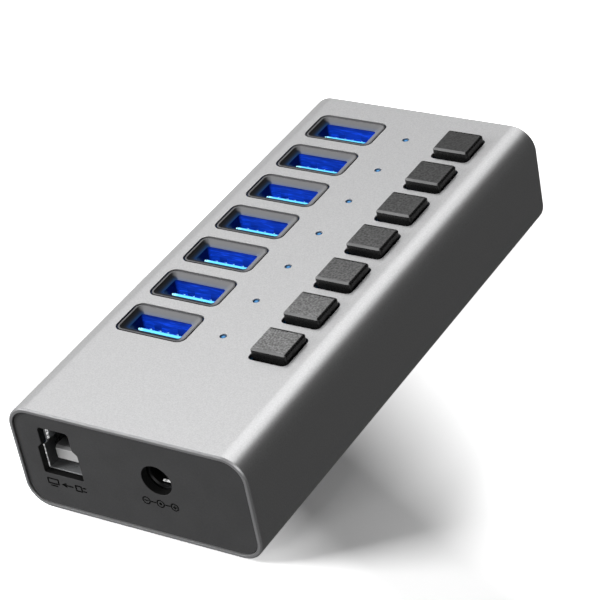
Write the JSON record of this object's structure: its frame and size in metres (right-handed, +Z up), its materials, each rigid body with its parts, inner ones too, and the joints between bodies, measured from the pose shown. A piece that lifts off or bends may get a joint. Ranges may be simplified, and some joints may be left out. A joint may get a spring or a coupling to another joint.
{
  "type": "usb hub",
  "caption": "Powered USB hub in an extruded aluminium case: upright USB-A sockets along the top, each with a status light and a push switch, and USB-B and barrel power sockets in one end.",
  "frame": {"origin": "on the surface that the hub stands on, under the middle of its housing", "axes": "+Y along the housing, from the end with the computer and power sockets (at -Y) to the plain end; +X from the USB-A sockets towards the switches; +Z up"},
  "size_m": [0.06, 0.129, 0.0294],
  "materials": {
    "anodised_aluminium": "sand-blasted and anodised, fine matt grain",
    "dark_plastic": "fine moulded texture",
    "button_plastic": "spark-textured top, smooth sides",
    "connector_plastic": "smooth black moulding",
    "grey_plastic": "natural grey moulding",
    "blue_plastic": "glossy blue, lit from inside",
    "light_pipe": "clear, glowing blue",
    "plated_steel": "nickel plated sheet",
    "brass": "turned and plated",
    "circuit_board": "green solder mask",
    "chip_plastic": "moulded epoxy",
    "capacitor_can": "sleeved can",
    "rubber": "soft black rubber"
  },
  "bodies": {
    "hub_body": {"housing": "anodised_aluminium", "front_cap": "dark_plastic", "rear_cap": "dark_plastic", "foot_front_left": "rubber", "foot_front_right": "rubber", "foot_rear_left": "rubber", "foot_rear_right": "rubber", "usb_a_shell_1": "plated_steel", "usb_a_insulator_1": "blue_plastic", "light_pipe_1": "light_pipe", "switch_body_1": "connector_plastic", "usb_a_shell_2": "plated_steel", "usb_a_insulator_2": "blue_plastic", "light_pipe_2": "light_pipe", "switch_body_2": "connector_plastic", "usb_a_shell_3": "plated_steel", "usb_a_insulator_3": "blue_plastic", "light_pipe_3": "light_pipe", "switch_body_3": "connector_plastic", "usb_a_shell_4": "plated_steel", "usb_a_insulator_4": "blue_plastic", "light_pipe_4": "light_pipe", "switch_body_4": "connector_plastic", "usb_a_shell_5": "plated_steel", "usb_a_insulator_5": "blue_plastic", "light_pipe_5": "light_pipe", "switch_body_5": "connector_plastic", "usb_a_shell_6": "plated_steel", "usb_a_insulator_6": "blue_plastic", "light_pipe_6": "light_pipe", "switch_body_6": "connector_plastic", "usb_a_shell_7": "plated_steel", "usb_a_insulator_7": "blue_plastic", "light_pipe_7": "light_pipe", "switch_body_7": "connector_plastic", "usb_b_shell": "plated_steel", "usb_b_insulator": "grey_plastic", "power_jack_body": "connector_plastic", "power_jack_pin": "brass", "power_jack_spring": "plated_steel", "circuit_board": "circuit_board", "hub_controller_upper": "chip_plastic", "hub_controller_lower": "chip_plastic", "clock_crystal": "plated_steel", "power_inductor": "chip_plastic", "power_capacitor": "capacitor_can"},
    "button_1": {"button_cap_1": "button_plastic", "switch_stem_1": "grey_plastic"},
    "button_2": {"button_cap_2": "button_plastic", "switch_stem_2": "grey_plastic"},
    "button_3": {"button_cap_3": "button_plastic", "switch_stem_3": "grey_plastic"},
    "button_4": {"button_cap_4": "button_plastic", "switch_stem_4": "grey_plastic"},
    "button_5": {"button_cap_5": "button_plastic", "switch_stem_5": "grey_plastic"},
    "button_6": {"button_cap_6": "button_plastic", "switch_stem_6": "grey_plastic"},
    "button_7": {"button_cap_7": "button_plastic", "switch_stem_7": "grey_plastic"}
  },
  "joints": [
    {"name": "button_1_press", "type": "slide", "parent": "hub_body", "child": "button_1", "axis": [0, 0, -1], "range_m": [0, 0.0015], "stiffness_N_per_m": 400, "springref_m": -0.001},
    {"name": "button_2_press", "type": "slide", "parent": "hub_body", "child": "button_2", "axis": [0, 0, -1], "range_m": [0, 0.0015], "stiffness_N_per_m": 400, "springref_m": -0.001},
    {"name": "button_3_press", "type": "slide", "parent": "hub_body", "child": "button_3", "axis": [0, 0, -1], "range_m": [0, 0.0015], "stiffness_N_per_m": 400, "springref_m": -0.001},
    {"name": "button_4_press", "type": "slide", "parent": "hub_body", "child": "button_4", "axis": [0, 0, -1], "range_m": [0, 0.0015], "stiffness_N_per_m": 400, "springref_m": -0.001},
    {"name": "button_5_press", "type": "slide", "parent": "hub_body", "child": "button_5", "axis": [0, 0, -1], "range_m": [0, 0.0015], "stiffness_N_per_m": 400, "springref_m": -0.001},
    {"name": "button_6_press", "type": "slide", "parent": "hub_body", "child": "button_6", "axis": [0, 0, -1], "range_m": [0, 0.0015], "stiffness_N_per_m": 400, "springref_m": -0.001},
    {"name": "button_7_press", "type": "slide", "parent": "hub_body", "child": "button_7", "axis": [0, 0, -1], "range_m": [0, 0.0015], "stiffness_N_per_m": 400, "springref_m": -0.001}
  ]
}
